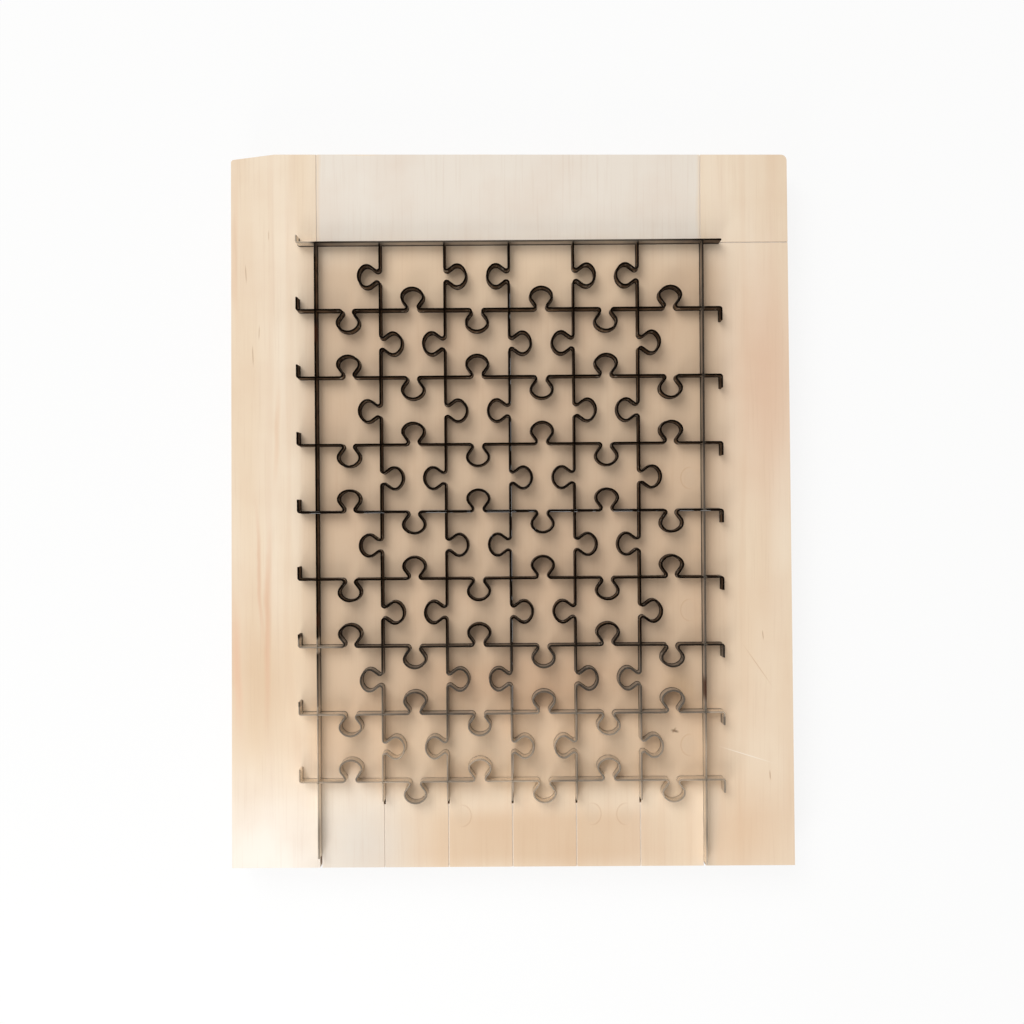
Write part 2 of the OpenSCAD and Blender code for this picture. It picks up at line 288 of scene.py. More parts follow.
def sweep(name, path, gaps, z, left, right, marks, finish):
    """A strip along a path, less some gaps: a grid of distance along the path by height.

    Its left and right faces lie at offsets from the path, one offset for each height, and an
    offset into a bend stays inside the bend's radius. A gap is a range of distance and height.
    Cells of the grid inside a gap are left out, and every side of a cell that has no neighbour is
    closed across the thickness. The marks are attributes, one value for each point of the grid."""
    point, angle, s, _ = path
    n, m = len(s), len(z)
    aside = np.stack([-np.sin(angle), np.cos(angle)], axis=-1)[:, None, :]
    curve = np.gradient(angle, s)[:, None]
    up = np.broadcast_to(z[None, :, None], (n, m, 1))

    def face(offset):
        """Points of one face, held inside the radius of a bend."""
        held = offset * np.minimum(1.0, INSIDE_BEND / np.maximum(curve * offset, INSIDE_BEND))
        flat = point[:, None, :] + aside * held[..., None]
        return np.concatenate([flat, up], axis=-1).reshape(-1, 3)

    mid_s, mid_z = (s[1:] + s[:-1]) / 2, (z[1:] + z[:-1]) / 2
    solid = np.ones((n - 1, m - 1), bool)
    for s_low, s_high, z_low, z_high in gaps:
        inside = (mid_s > s_low) & (mid_s < s_high)
        solid &= ~(inside[:, None] & ((mid_z > z_low) & (mid_z < z_high))[None, :])
    ringed = np.pad(solid, 1)
    here = np.arange(n * m).reshape(n, m)
    a, b, c, d = here[:-1, :-1], here[1:, :-1], here[1:, 1:], here[:-1, 1:]
    over = n * m
    open_below, open_above = solid & ~ringed[1:-1, :-2], solid & ~ringed[1:-1, 2:]
    open_before, open_after = solid & ~ringed[:-2, 1:-1], solid & ~ringed[2:, 1:-1]
    sides = [
        (solid, (a, d, c, b)),
        (solid, (a + over, b + over, c + over, d + over)),
        (open_below, (a, b, b + over, a + over)),
        (open_above, (d, d + over, c + over, c)),
        (open_before, (a, a + over, d + over, d)),
        (open_after, (b, c, c + over, b + over)),
    ]
    faces = np.concatenate([np.stack([v[keep] for v in quad], axis=-1) for keep, quad in sides])
    used, packed = np.unique(faces, return_inverse=True)
    mesh = bpy.data.meshes.new(name)
    mesh.from_pydata(np.concatenate([face(left), face(right)])[used], [], packed.reshape(-1, 4))
    for key, value in marks.items():
        spread = np.tile(np.broadcast_to(value, (n, m)).ravel(), 2)[used]
        mesh.attributes.new(key, "FLOAT", "POINT").data.foreach_set("value", spread)
    mesh.shade_smooth()
    mesh.set_sharp_from_angle(angle=SHARP_ANGLE)
    mesh.materials.append(finish)
    mesh.update()
    piece = bpy.data.objects.new(name, mesh)
    bpy.context.scene.collection.objects.link(piece)
    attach(piece, "root")
    return piece


def span(middle, width, low, high):
    """A gap around a place on the path."""
    return (middle - width / 2, middle + width / 2, low, high)


def laps(crossings, rules, low, high):
    """Gaps where a rule is lapped into the rules that cross it."""
    return [span(s, rules.thick + 2 * rules.lap_gap, low, high) for s in crossings]


def notches(bridges, rules):
    """Gaps in the foot of a rule, over the bridges of the board."""
    return [span(s, rules.notch_w, 0, rules.notch_z) for s in bridges]


def edges(gaps):
    """Both ends of every gap along the path."""
    return [s for gap in gaps for s in gap[:2]]


def strip(name, node, path, gaps, rules, steel):
    """A rule in the place of its solid: a wall of even thickness that tapers to its edge over the
    height of the bevel."""
    bevel_z = rules.high - rules.bevel
    heights = {0.0, BOARD_HIGH.z, bevel_z, rules.high, *(z for gap in gaps for z in gap[2:])}
    z = np.array(sorted(h for h in heights if 0 <= h <= rules.high))
    z = z[np.concatenate(([True], np.diff(z) > SAME_HEIGHT))]
    half = np.interp(z, [bevel_z, rules.high], [rules.thick / 2, rules.land / 2])
    marks = {"along": path[2][:, None], "bend": path[3][:, None]}
    piece = sweep(name, path, gaps, z, half, -half, marks, steel)
    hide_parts(node)


def burnt_lips(name, path, crossings, rules, wood):
    """Charred rims on both sides of a slot, left out where another rule crosses.

    The profile is a low ridge: its inner side stands at the slot, and its top slopes outwards into
    the face, which it meets at the rim's width. The char is full at the slot, and weaker towards
    the foot of the board."""
    slot = rules.thick / 2 + rules.lap_gap
    below = LIP_SUNK * rules.lip_h
    z = BOARD_HIGH.z + np.array([-below, rules.lip_h])
    inner = np.array([slot, slot])
    outer = slot + np.array([(1 + LIP_SUNK) * rules.lip_w, LIP_TOP * rules.lip_w])
    gaps = [span(s, 2 * slot, z[0] - below, z[1] + below) for s in crossings]
    strength = np.interp(path[0][:, 1], *CHAR_FADE)
    marks = {"burn": strength[:, None] * np.array([0.0, 1.0])}
    for side, left, right in (("left", outer, inner), ("right", -inner, -outer)):
        lip = sweep(f"{name}_{side}_char", path, gaps, z, left, right, marks, wood)


def add(tree, kind, inputs=None, **settings):
    """Adds a node with its settings and inputs, and gives its first live output. An input is named,
    or numbered among the live ones, and takes a value or another node's output."""
    node = tree.nodes.new(kind)
    for key, value in settings.items():
        setattr(node, key, value)
    live = [socket for socket in node.inputs if socket.enabled]
    for key, value in (inputs or {}).items():
        named = [socket for socket in live if socket.name == key]
        socket = live[key] if isinstance(key, int) else named[0]
        if isinstance(value, bpy.types.NodeSocket):
            tree.links.new(value, socket)
        else:
            socket.default_value = value
    return next((socket for socket in node.outputs if socket.enabled), None)


def new_material(name):
    """An empty material with its node tree."""
    material = bpy.data.materials.new(name)
    material.use_nodes = True
    material.node_tree.nodes.clear()
    return material, material.node_tree


def soft_patch(tree, place, centre, half, turn=0.0, soft=0.5):
    """How far a place lies in a soft-edged patch: 1 inside and 0 outside. The place is moved and
    turned to the patch and divided by its half sizes, and each axis fades to 0 at 1."""
    local = add(
        tree,
        "ShaderNodeMapping",
        {
            "Vector": place,
            "Location": (*centre, 0),
            "Rotation": (0, 0, math.radians(turn)),
            "Scale": (*half, 1),
        },
        vector_type="TEXTURE",
    )
    away = add(tree, "ShaderNodeVectorMath", {0: local}, operation="ABSOLUTE")
    axes = add(tree, "ShaderNodeSeparateXYZ", {0: away}).node.outputs
    fades = [
        add(
            tree,
            "ShaderNodeMapRange",
            {0: axes[axis], 1: 1.0 - soft, 2: 1.0, 3: 1.0, 4: 0.0},
            interpolation_type="SMOOTHSTEP",
        )
        for axis in ("X", "Y")
    ]
    return add(tree, "ShaderNodeMath", {0: fades[0], 1: fades[1]}, operation="MULTIPLY")


def blend_in(tree, mask, strength, base, tint):
    """The base colour with a tint laid over it where the mask is, at a given strength."""
    share = add(tree, "ShaderNodeMath", {0: mask, 1: strength}, operation="MULTIPLY")
    return add(tree, "ShaderNodeMix", {0: share, "A": base, "B": tint}, data_type="RGBA")


# Pattern sizes of the steel in millimetres: clouds of bloom, drawing lines along and across the
# strip, broad worn patches, and chips at the bends
BLOOM_SIZE = 4.0
LINE_SIZE = (12.0, 0.3)
WEAR_SIZE = 22.0
CHIP_SIZE = 1.5

# The lighter steel grows between these places along the board in millimetres: partly rubbed-off
# oxide, partly painted light for walls that face the light there. The oxide flakes off between
# these two bends, as turning per metre
WEAR_AND_LIGHT_Y = (-45.0, -95.0)
FLAKE_BEND = (120.0, 400.0)

# Where the near-black bands of the edge and foot begin and are full, in millimetres below the edge
# and above the face of the board. The band at the foot is partly painted contact shade
EDGE_DARK = (1.0, 0.6)
FOOT_DIRT_AND_SHADE = (1.2, 0.3)

# Shares on dark steel and on the lighter steel: the part of the dark edge and foot that stays, metal
# and roughness
DARK_KEPT = (0.97, 0.28)
METAL = (0.35, 0.8)
STEEL_ROUGH = (0.48, 0.25)

# Lighter steel on the top rule, at ends of the lower rules and on the right rule: centre and half
# size in millimetres, and strength. The patches on the right rule and the one at the right end of a
# lower rule are painted highlights on walls that face the light; the others are wear
WEAR_AND_LIGHT_PATCHES = (
    ((-82.0, 105.0), (8.0, 8.0), 0.9),
    ((0.0, 105.0), (90.0, 2.5), 0.45),
    ((-78.0, -52.0), (16.0, 4.0), 0.8),
    ((-78.0, -78.0), (18.0, 4.0), 0.9),
    ((80.0, -78.5), (6.0, 3.0), 1.0),
    ((74.8, -25.0), (1.0, 70.0), 0.45),
    ((74.8, 60.0), (1.0, 60.0), 0.25),
)

# Rust on the rules: centre and half size in millimetres, and strength
RUST_PATCHES = (
    ((-75.2, 69.0), (2, 5), 0.9),
    ((-75.2, -42.0), (2, 4), 0.7),
    ((74.8, -69.5), (2, 6), 0.8),
)


def oxidised_rule_steel(rules):
    """Tempered steel strip with a dark oxide: brown black walls with a low sheen, browner bloom in
    cloudy patches, a near-black edge and a near-black foot that is partly painted contact shade,
    flaked bends that also stand in for glints as painted highlights, lighter steel towards the foot
    of the die and in patches that is partly rubbed-off oxide and partly painted light, with a warm
    tint that is a painted reflection of the wood, and rust in places."""
    material, tree = new_material("Tempered rule steel, oxidised")
    place = add(tree, "ShaderNodeTexCoord").node.outputs["Object"]
    mm = add(tree, "ShaderNodeVectorMath", {0: place, "Scale": 1 / MM}, operation="SCALE")
    axes = add(tree, "ShaderNodeSeparateXYZ", {0: mm}).node.outputs
    along = add(tree, "ShaderNodeAttribute", attribute_name="along").node.outputs["Fac"]
    bend = add(tree, "ShaderNodeAttribute", attribute_name="bend").node.outputs["Fac"]
    far = add(tree, "ShaderNodeMath", {0: along, 1: 1 / MM}, operation="MULTIPLY")
    strip_place = add(tree, "ShaderNodeCombineXYZ", {"X": far, "Y": axes["Z"]})
    # Clouds of bloom, and drawing lines along the strip
    cloud = add(tree, "ShaderNodeTexNoise", {"Vector": mm, "Scale": 1 / BLOOM_SIZE, "Detail": 3.0})
    drawn = (1 / LINE_SIZE[0], 1 / LINE_SIZE[1], 1)
    lined = add(tree, "ShaderNodeMapping", {"Vector": strip_place, "Scale": drawn})
    lines = add(tree, "ShaderNodeTexNoise", {"Vector": lined, "Scale": 1.0, "Detail": 2.0})
    bloom = add(tree, "ShaderNodeMapRange", {0: cloud, 1: 0.38, 2: 0.66})
    tone = blend_in(tree, bloom, 1.0, rules.oxide, rules.bloom)
    # The steel gets lighter towards the foot of the die, in broad patches, and at some places: partly
    # rubbed-off oxide, partly painted light where the visible walls face the light
    broad = add(tree, "ShaderNodeTexNoise", {"Vector": mm, "Scale": 1 / WEAR_SIZE, "Detail": 1.0})
    low = add(tree, "ShaderNodeMapRange", {0: axes["Y"], 1: WEAR_AND_LIGHT_Y[0], 2: WEAR_AND_LIGHT_Y[1]})
    patch = add(tree, "ShaderNodeMapRange", {0: broad, 1: 0.35, 2: 0.65, 3: 0.7, 4: 1.1})
    wear_and_light = add(tree, "ShaderNodeMath", {0: low, 1: patch}, operation="MULTIPLY")
    for centre, half, strength in WEAR_AND_LIGHT_PATCHES:
        patch = soft_patch(tree, mm, centre, half)
        patch = add(tree, "ShaderNodeMath", {0: patch, 1: strength}, operation="MULTIPLY")
        wear_and_light = add(tree, "ShaderNodeMath", {0: wear_and_light, 1: patch}, operation="MAXIMUM")
    tone = blend_in(tree, wear_and_light, 0.95, tone, rules.bright)
    # Chips at the bends, where the oxide flaked; they also stand in for glints, as painted highlights
    flaked = add(tree, "ShaderNodeMapRange", {0: bend, 1: FLAKE_BEND[0], 2: FLAKE_BEND[1]})
    chips = add(tree, "ShaderNodeTexNoise", {"Vector": mm, "Scale": 1 / CHIP_SIZE, "Detail": 2.0})
    chips = add(tree, "ShaderNodeMapRange", {0: chips, 1: 0.56, 2: 0.64})
    chips_and_glints = add(tree, "ShaderNodeMath", {0: flaked, 1: chips}, operation="MULTIPLY")
    tone = blend_in(tree, chips_and_glints, 0.4, tone, rules.bright)
    # A near-black band on the bevelled edge, and one at the foot: char where the rule goes into the
    # board, with painted contact shade
    edge_from, edge_full = (rules.high / MM - below for below in EDGE_DARK)
    foot_from, foot_full = (BOARD_HIGH.z / MM + above for above in FOOT_DIRT_AND_SHADE)
    edge = add(tree, "ShaderNodeMapRange", {0: axes["Z"], 1: edge_from, 2: edge_full})
    foot = add(tree, "ShaderNodeMapRange", {0: axes["Z"], 1: foot_from, 2: foot_full})
    kept = add(tree, "ShaderNodeMapRange", {0: wear_and_light, 3: DARK_KEPT[0], 4: DARK_KEPT[1]})
    edge = add(tree, "ShaderNodeMath", {0: edge, 1: kept}, operation="MULTIPLY")
    kept = add(tree, "ShaderNodeMapRange", {0: low, 3: DARK_KEPT[0], 4: DARK_KEPT[1]})
    foot = add(tree, "ShaderNodeMath", {0: foot, 1: kept}, operation="MULTIPLY")
    dirt_and_shade_mask = add(tree, "ShaderNodeMath", {0: edge, 1: foot}, operation="MAXIMUM")
    tone = blend_in(tree, dirt_and_shade_mask, 1.0, tone, rules.dirt_and_shade)
    clean = add(tree, "ShaderNodeMath", {0: 1.0, 1: dirt_and_shade_mask}, operation="SUBTRACT")
    bare = add(tree, "ShaderNodeMath", {0: wear_and_light, 1: clean}, operation="MULTIPLY")
    for centre, half, strength in RUST_PATCHES:
        patch = soft_patch(tree, mm, centre, half, soft=0.7)
        tone = blend_in(tree, patch, strength, tone, rules.rust)
    metal = add(tree, "ShaderNodeMapRange", {0: wear_and_light, 3: METAL[0], 4: METAL[1]})
    metal = add(tree, "ShaderNodeMath", {0: metal, 1: clean}, operation="MULTIPLY")
    dull = add(tree, "ShaderNodeMapRange", {0: bare, 3: STEEL_ROUGH[0], 4: STEEL_ROUGH[1]})
    grain = add(tree, "ShaderNodeMapRange", {0: lines, 1: 0.3, 2: 0.7, 3: 0.85, 4: 1.2})
    rough = add(tree, "ShaderNodeMath", {0: dull, 1: grain}, operation="MULTIPLY")
    bump = add(
        tree, "ShaderNodeBump", {"Height": lines, "Strength": 0.25, "Distance": 0.02 * MM}
    )
    shader = add(
        tree,
        "ShaderNodeBsdfPrincipled",
        {
            "Base Color": tone,
            "Metallic": metal,
            "Roughness": rough,
            "Specular IOR Level": 0.0,
            "Normal": bump,
        },
    )
    add(tree, "ShaderNodeOutputMaterial", {"Surface": shader})
    return material


# Tones of the face veneer: centre and half size in millimetres, turn in degrees, softness,
# colour and strength
WOOD_TONES = (
    # Darker tan wood between the rules, and under the lower rows; past the right rule it fades out as
    # painted shade
    ((3.0, -4.0), (90.0, 114.0), 0, 0.18, "#d3b697", 0.9),
    ((-0.2, 91.0), (76.0, 14.0), 0, 0.5, "#e6cbab", 0.7),
    ((-0.2, -100.0), (76.0, 20.0), 0, 0.7, "#d0b89c", 0.65),
    ((5.0, -67.0), (72.0, 15.0), 0, 0.8, "#bb9878", 0.55),
    ((20.0, -30.0), (62.0, 70.0), 0, 0.9, "#c9a98a", 0.35),
    # Pale strip above the top rule, between the guide lines
    ((-0.2, 122.0), (75.2, 17.6), 0, 0.03, "#ece3d7", 0.85),
    # Much paler wood towards the lower left corner and in the lower cells, and a tan band in the
    # lower left margin
    ((-96.0, -138.0), (60.0, 52.0), 0, 1.0, "#fbf3e8", 0.9),
    ((-58.0, -132.0), (35.0, 38.0), 0, 1.0, "#dfd5c8", 0.9),
    ((-97.0, -66.0), (22.0, 46.0), 0, 1.0, "#d8b691", 0.6),
    # Peach wood below the pattern and along the right edge
    ((10.0, -128.0), (74.0, 18.0), 0, 0.7, "#d8b896", 0.8),
    ((92.0, -126.0), (30.0, 34.0), 0, 1.0, "#dfb994", 0.6),
    ((100.0, 50.0), (22.0, 76.0), 0, 1.0, "#e3c0a3", 0.9),
    ((94.0, -60.0), (20.0, 70.0), 0, 0.9, "#e8cbab", 0.5),
    # Reddish streaks along the grain in the left margin
    ((-95.5, -45.0), (1.8, 50.0), -1.5, 0.9, "#e2b796", 0.6),
    ((-98.5, -25.0), (1.2, 36.0), 2.0, 0.9, "#dfb392", 0.5),
    ((-107.5, -60.0), (2.6, 34.0), 0.5, 0.9, "#eabf9f", 0.6),
    ((-91.0, 30.0), (1.5, 26.0), -2.5, 0.9, "#e6c09c", 0.4),
    ((-107.0, 100.0), (2.0, 40.0), 0, 0.9, "#e8c4a2", 0.45),
    # Stain by the knob in the last column
    ((66.0, -70.0), (9.0, 12.0), 20, 0.9, "#b8905f", 0.3),
)

# Nicks, flecks and scratches in the face, in the same order
WOOD_MARKS = (
    ((63.5, -86.9), (2.0, 0.7), -15, 0.8, "#6b5138", 0.8),
    ((63.2, -86.6), (0.6, 1.7), -35, 0.9, "#8a6c4e", 0.7),
    ((91.5, -96.4), (13.5, 0.28), -17.5, 0.9, "#fbeede", 0.8),
    ((96.0, -61.4), (11.9, 0.3), -55.4, 0.9, "#cda985", 0.6),
    ((98.2, -49.6), (0.25, 2.4), 6, 0.8, "#b08a66", 0.7),
    ((100.6, -104.4), (0.3, 2.4), 4, 0.8, "#ab8460", 0.7),
    ((-103.0, 93.0), (0.3, 4.5), 3, 0.8, "#b48d68", 0.6),
    ((-98.0, 70.0), (0.25, 3.5), -2, 0.8, "#b9926c", 0.6),
    ((-100.5, 61.0), (0.3, 5.0), 2, 0.8, "#b48d68", 0.6),
    ((-94.0, 108.0), (0.25, 2.5), 0, 0.8, "#bb9670", 0.5),
)

# Pattern sizes of the wood in millimetres: pores and streaks across and along the grain, clouds,
# the wander of the tones, and specks in the end grain
PORE_SIZE = (0.9, 30.0)
STREAK_SIZE = (14.0, 120.0)
CLOUD_SIZE = 25.0
WANDER = 3.0
SPECK_SIZE = 0.7

# In millimetres: one ply, where the plies begin and are full below the face veneer, and the middle
# and half range of the depth of a guide line
PLY = 1.4
PLIES_Z = (16.85, 16.75)
GUIDE_DEPTH = (0.3, 0.27)

# In millimetres: from a cross rule to the middle of its knobs, and from there to where the painted
# shade inside a knob begins and is full
KNOB_MIDDLE = 4.7
KNOB_SHADE_ROUND = (4.2, 2.6)

# Faint knobs in the face where a rule once was: centre in millimetres, and the side, left or right,
# that shows
GHOST_KNOBS = (
    ((70.1, 12.0), -1),
    ((69.7, -39.6), -1),
    ((69.4, -92.4), -1),
    ((44.1, -119.2), -1),
    ((30.8, -119.1), 1),
    ((-20.0, -119.5), 1),
)

# Half size of a faint knob in millimetres, half the width of its outline as a share of that, and
# the tone inside
GHOST_HALF = (3.6, 4.2)
GHOST_LINE = 0.07
GHOST_TONE = "#b0a08e"


def sanded_birch_plywood(board):
    """Birch plywood with a sanded face: pale cream veneer with fine lines along the grain, soft
    growth figure, browner wood between the rules that fades out past the right rule as painted
    shade, nicks, faded marks, painted shade inside the knobs that point up, char, guide lines made
    pale as painted light, and plies in turn at the edges."""
    material, tree = new_material("Birch plywood, sanded")
    place = add(tree, "ShaderNodeTexCoord").node.outputs["Object"]
    mm = add(tree, "ShaderNodeVectorMath", {0: place, "Scale": 1 / MM}, operation="SCALE")
    flat = add(tree, "ShaderNodeVectorMath", {0: mm, 1: (1, 1, 0)}, operation="MULTIPLY")
    # Fine pores, broad streaks and clouds
    pore_scale, streak_scale = (
        (1 / across, 1 / along, 1 / across) for across, along in (PORE_SIZE, STREAK_SIZE)
    )
    fine = add(tree, "ShaderNodeMapping", {"Vector": mm, "Scale": pore_scale})
    pores = add(tree, "ShaderNodeTexNoise", {"Vector": fine, "Scale": 1.0, "Detail": 3.0})
    broad = add(tree, "ShaderNodeMapping", {"Vector": mm, "Scale": streak_scale})
    streaks = add(tree, "ShaderNodeTexNoise", {"Vector": broad, "Scale": 1.0, "Detail": 2.0})
    cloud = add(tree, "ShaderNodeTexNoise", {"Vector": mm, "Scale": 1 / CLOUD_SIZE, "Detail": 3.0})
    warm = add(tree, "ShaderNodeMapRange", {0: streaks, 1: 0.3, 2: 0.7})
    face = blend_in(tree, warm, 0.8, board.pale, board.warm)
    # Growth figure: bands 11 mm apart that wander along the grain
    bands = add(tree, "ShaderNodeMapping", {"Vector": mm, "Scale": (1, 1 / 7, 1)})
    figure = add(
        tree,
        "ShaderNodeTexWave",
        {"Vector": bands, "Scale": 0.028, "Distortion": 9.0, "Detail": 2.0, "Detail Scale": 1.2},
    )
    figure = add(tree, "ShaderNodeMapRange", {0: figure, 1: 0.6, 2: 1.0})
    face = blend_in(tree, figure, 0.1, face, board.figure)
    # The tones keep off straight borders by a wander of a few millimetres
    sway = add(
        tree,
        "ShaderNodeVectorMath",
        {0: cloud.node.outputs["Color"], 1: (0.5, 0.5, 0.5)},
        operation="SUBTRACT",
    )
    sway = add(tree, "ShaderNodeVectorMath", {0: sway, "Scale": WANDER}, operation="SCALE")
    swayed = add(tree, "ShaderNodeVectorMath", {0: mm, 1: sway}, operation="ADD")
    for centre, half, turn, soft, tint, strength in WOOD_TONES:
        patch = soft_patch(tree, swayed, centre, half, turn, soft)
        face = blend_in(tree, patch, strength, face, linear(tint))
    clouded = add(tree, "ShaderNodeMapRange", {0: cloud, 1: 0.45, 2: 0.75})
    face = blend_in(tree, clouded, 0.14, face, board.figure)
    pored = add(tree, "ShaderNodeMapRange", {0: pores, 1: 0.52, 2: 0.8})
    face = blend_in(tree, pored, 0.12, face, board.pore)
    for centre, half, turn, soft, tint, strength in WOOD_MARKS:
        patch = soft_patch(tree, mm, centre, half, turn, soft)
        face = blend_in(tree, patch, strength, face, linear(tint))
    for centre, side in GHOST_KNOBS:
        local = add(
            tree,
            "ShaderNodeMapping",
            {
                "Vector": flat,
                "Location": (*centre, 0),
                "Scale": (GHOST_HALF[0] * side, GHOST_HALF[1], 1),
            },
            vector_type="TEXTURE",
        )
        out = add(tree, "ShaderNodeVectorMath", {0: local}, operation="LENGTH")
        shown = add(tree, "ShaderNodeSeparateXYZ", {0: local}).node.outputs["X"]
        ring = add(tree, "ShaderNodeMath", {0: out, 1: 1.0, 2: GHOST_LINE}, operation="COMPARE")
        half_ring = add(tree, "ShaderNodeMapRange", {0: shown, 1: -0.4, 2: 0.5})
        ring = add(tree, "ShaderNodeMath", {0: ring, 1: half_ring}, operation="MULTIPLY")
        face = blend_in(tree, ring, 0.25, face, board.pore)
        inside = add(tree, "ShaderNodeMapRange", {0: out, 1: 1.0, 2: 0.6})
        face = blend_in(tree, inside, 0.07, face, linear(GHOST_TONE))
    # Painted shade inside the knobs that point up, apart from those of the last rule: two circles
    # that repeat over every second piece
    wide, high = PIECE_W / MM, PIECE_H / MM
    left, last = LEFT_X / MM, LAST_Y / MM
    tile = add(
        tree,
        "ShaderNodeVectorMath",
        {0: flat, 1: (left + 2 * wide, last + 2 * high, 0), 2: (left, last, 0)},
        operation="WRAP",
    )
    half = (COLUMNS * wide / 2, (ROWS - 0.5) * high / 2)
    middle = (left + half[0], last + ROWS * high - half[1])
    within = soft_patch(tree, mm, middle, half, soft=0.01)
    for k in range(2):
        centre = (left + (k + 0.5) * wide, last + k * high + KNOB_MIDDLE, 0)
        out = add(tree, "ShaderNodeVectorMath", {0: tile, 1: centre}, operation="DISTANCE")
        knob_shade = add(tree, "ShaderNodeMapRange", {0: out, 1: KNOB_SHADE_ROUND[0], 2: KNOB_SHADE_ROUND[1]})
        knob_shade = add(tree, "ShaderNodeMath", {0: knob_shade, 1: within}, operation="MULTIPLY")
        face = blend_in(tree, knob_shade, 0.4, face, board.grime)
    # Char along the slots, and painted light in the grooves of the guide lines: a pale colour that
    # lifts their shade
    burn = add(tree, "ShaderNodeAttribute", attribute_name="burn").node.outputs["Fac"]
    burnt = add(tree, "ShaderNodeMapRange", {0: burn, 1: 0.28, 2: 0.85})
    face = blend_in(tree, burnt, 0.92, face, board.char)
    deep = add(tree, "ShaderNodeSeparateXYZ", {0: mm}).node.outputs["Z"]
    guide = BOARD_HIGH.z / MM - GUIDE_DEPTH[0]
    guide_lightening = add(
        tree, "ShaderNodeMath", {0: deep, 1: guide, 2: GUIDE_DEPTH[1]}, operation="COMPARE"
    )
    face = blend_in(tree, guide_lightening, 0.85, face, board.guide_lightening)
    # Plies below the face veneer, every other one showing its end grain. They waver a little,
    # their tone changes along the edge, and a thin glue line lies between them
    waver = add(tree, "ShaderNodeMath", {0: cloud, 1: 0.5, 2: deep}, operation="MULTIPLY_ADD")
    ply = add(tree, "ShaderNodeMath", {0: waver, 1: 2 * PLY}, operation="MODULO")
    turned = add(tree, "ShaderNodeMapRange", {0: ply, 1: PLY - 0.05, 2: PLY + 0.05})
    under = add(tree, "ShaderNodeMapRange", {0: waver, 1: PLIES_Z[0], 2: PLIES_Z[1]})
    end_grain = add(tree, "ShaderNodeMath", {0: turned, 1: under}, operation="MULTIPLY")
    speck = add(tree, "ShaderNodeTexNoise", {"Vector": mm, "Scale": 1 / SPECK_SIZE, "Detail": 2.0})
    uneven = add(tree, "ShaderNodeMath", {0: speck, 1: streaks}, operation="ADD")
    uneven = add(tree, "ShaderNodeMapRange", {0: uneven, 1: 0.7, 2: 1.3, 3: 0.45, 4: 0.95})
    end_grain = add(tree, "ShaderNodeMath", {0: end_grain, 1: uneven}, operation="MULTIPLY")
    face = blend_in(tree, end_grain, 1.0, face, board.cross_ply)
    joint = add(tree, "ShaderNodeMath", {0: waver, 1: PLY}, operation="MODULO")
    joint = add(tree, "ShaderNodeMath", {0: joint, 1: 0.0, 2: 0.09}, operation="COMPARE")
    glue = add(tree, "ShaderNodeMath", {0: joint, 1: under}, operation="MULTIPLY")
    face = blend_in(tree, glue, 0.45, face, board.glue)
    rough = add(tree, "ShaderNodeMapRange", {0: pores, 3: 0.5, 4: 0.7})
    bump = add(
        tree, "ShaderNodeBump", {"Height": pores, "Strength": 0.3, "Distance": 0.05 * MM}
    )
    shader = add(
        tree,
        "ShaderNodeBsdfPrincipled",
        {"Base Color": face, "Roughness": rough, "Normal": bump, "IOR": 1.5},
    )
    add(tree, "ShaderNodeOutputMaterial", {"Surface": shader})
    return material


# Places and sizes of the two lamps, and half the size of the floor and its depth
KEY_PLACE, KEY_SIZE = (-1.0, 1.5, 2.1), 1.6
FILL_PLACE, FILL_SIZE = (-0.2, -0.5, 0.32), 0.3
FLOOR_HALF, FLOOR_Z = 3.0, -0.1 * MM

# White that the camera sees: its share in the paper, and its level in the world. The even light
# goes from the first of two shares at the horizon to the second straight above
PAPER_GLOW = 0.85
WORLD_WHITE = 0.97
SKY_SHARES = (0.5, 1.3)
SENSOR_W = 36


def seen(tree):
    """1 for rays of the camera, of gloss and of transmission, and 0 for the others."""
    path = add(tree, "ShaderNodeLightPath").node.outputs
    either = path["Is Camera Ray"]
    for kind in ("Is Glossy Ray", "Is Transmission Ray"):
        either = add(tree, "ShaderNodeMath", {0: either, 1: path[kind]}, operation="MAXIMUM")
    return either


def white_paper(stage):
    """Matt white paper under the die. The camera sees it nearly white, with a weak shadow left."""
    material, tree = new_material("White paper, matt")
    share = add(tree, "ShaderNodeMath", {0: seen(tree), 1: PAPER_GLOW}, operation="MULTIPLY")
    paper = add(tree, "ShaderNodeBsdfDiffuse", {"Color": stage.floor})
    glow = add(tree, "ShaderNodeEmission", {"Color": (1, 1, 1, 1), "Strength": 1.0})
    mixed = add(tree, "ShaderNodeMixShader", {0: share, 1: paper, 2: glow})
    add(tree, "ShaderNodeOutputMaterial", {"Surface": mixed})
    return material


def rule_steel(rules):
    """The steel, made once."""
    return bpy.data.materials.get("Tempered rule steel, oxidised") or oxidised_rule_steel(rules)


def plywood(board):
    """The plywood, made once."""
    return bpy.data.materials.get("Birch plywood, sanded") or sanded_birch_plywood(board)


